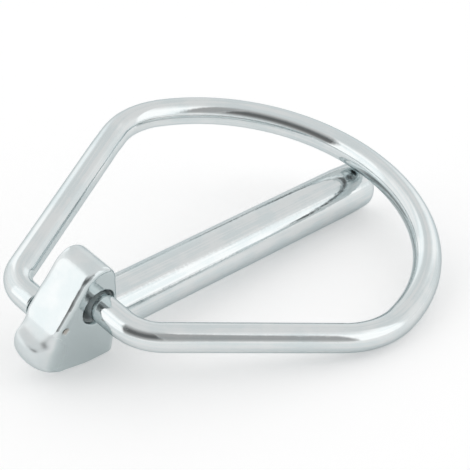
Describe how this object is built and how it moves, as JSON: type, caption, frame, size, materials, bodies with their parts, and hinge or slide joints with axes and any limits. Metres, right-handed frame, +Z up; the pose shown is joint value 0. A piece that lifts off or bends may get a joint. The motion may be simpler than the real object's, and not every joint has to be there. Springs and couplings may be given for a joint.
{
  "type": "round wire lock pin",
  "caption": "Lock pin with a plain round shank, a forged flat-sided head and a sprung wire bow that hinges in the head and closes over the tip.",
  "frame": {"origin": "centre of the overall box, on the surface the pin lies on", "axes": "+X along the shank towards the tip, +Z up from the surface; the pin is rolled onto its head and the side of the bow, as it comes to rest"},
  "size_m": [0.0576, 0.049, 0.0158],
  "materials": {
    "plated_pin": "bright zinc plate over forged steel",
    "plated_wire": "bright zinc plate over spring wire"
  },
  "bodies": {
    "pin": {"pin": "plated_pin"},
    "bow": {"bow": "plated_wire"}
  },
  "joints": [
    {"name": "bow_swing", "type": "hinge", "parent": "pin", "child": "bow", "pos_m": [-0.01971, 0.0016, 0.00881], "axis": [-0.01, -0.9648, -0.2627], "range_deg": [0, 120], "stiffness_Nm_per_rad": 0.3, "springref_deg": -11.46}
  ]
}
